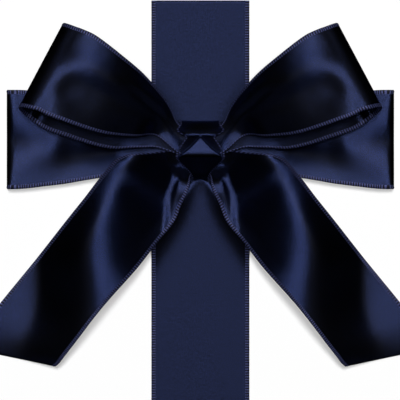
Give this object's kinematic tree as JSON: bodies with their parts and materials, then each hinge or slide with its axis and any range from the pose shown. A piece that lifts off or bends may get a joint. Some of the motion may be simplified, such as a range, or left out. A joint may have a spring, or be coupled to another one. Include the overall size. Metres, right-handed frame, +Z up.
{
  "type": "tied satin ribbon bow on a ribbon band",
  "caption": "Tied bow of wide navy satin ribbon, with stacked loops and cut tails gathered in a knot, lying on a flat band of the same ribbon.",
  "frame": {"origin": "middle of the knot in plan, at the underside of the flat band", "axes": "+X across the bow from loop to loop, +Y along the band away from the tails, +Z up from the surface toward the viewer"},
  "size_m": [0.1826, 0.1597, 0.0242],
  "materials": {
    "navy_satin": "satin"
  },
  "bodies": {
    "root": {"band": "navy_satin", "lower_loops": "navy_satin", "tails": "navy_satin", "upper_loops": "navy_satin", "knot": "navy_satin"}
  },
  "joints": []
}
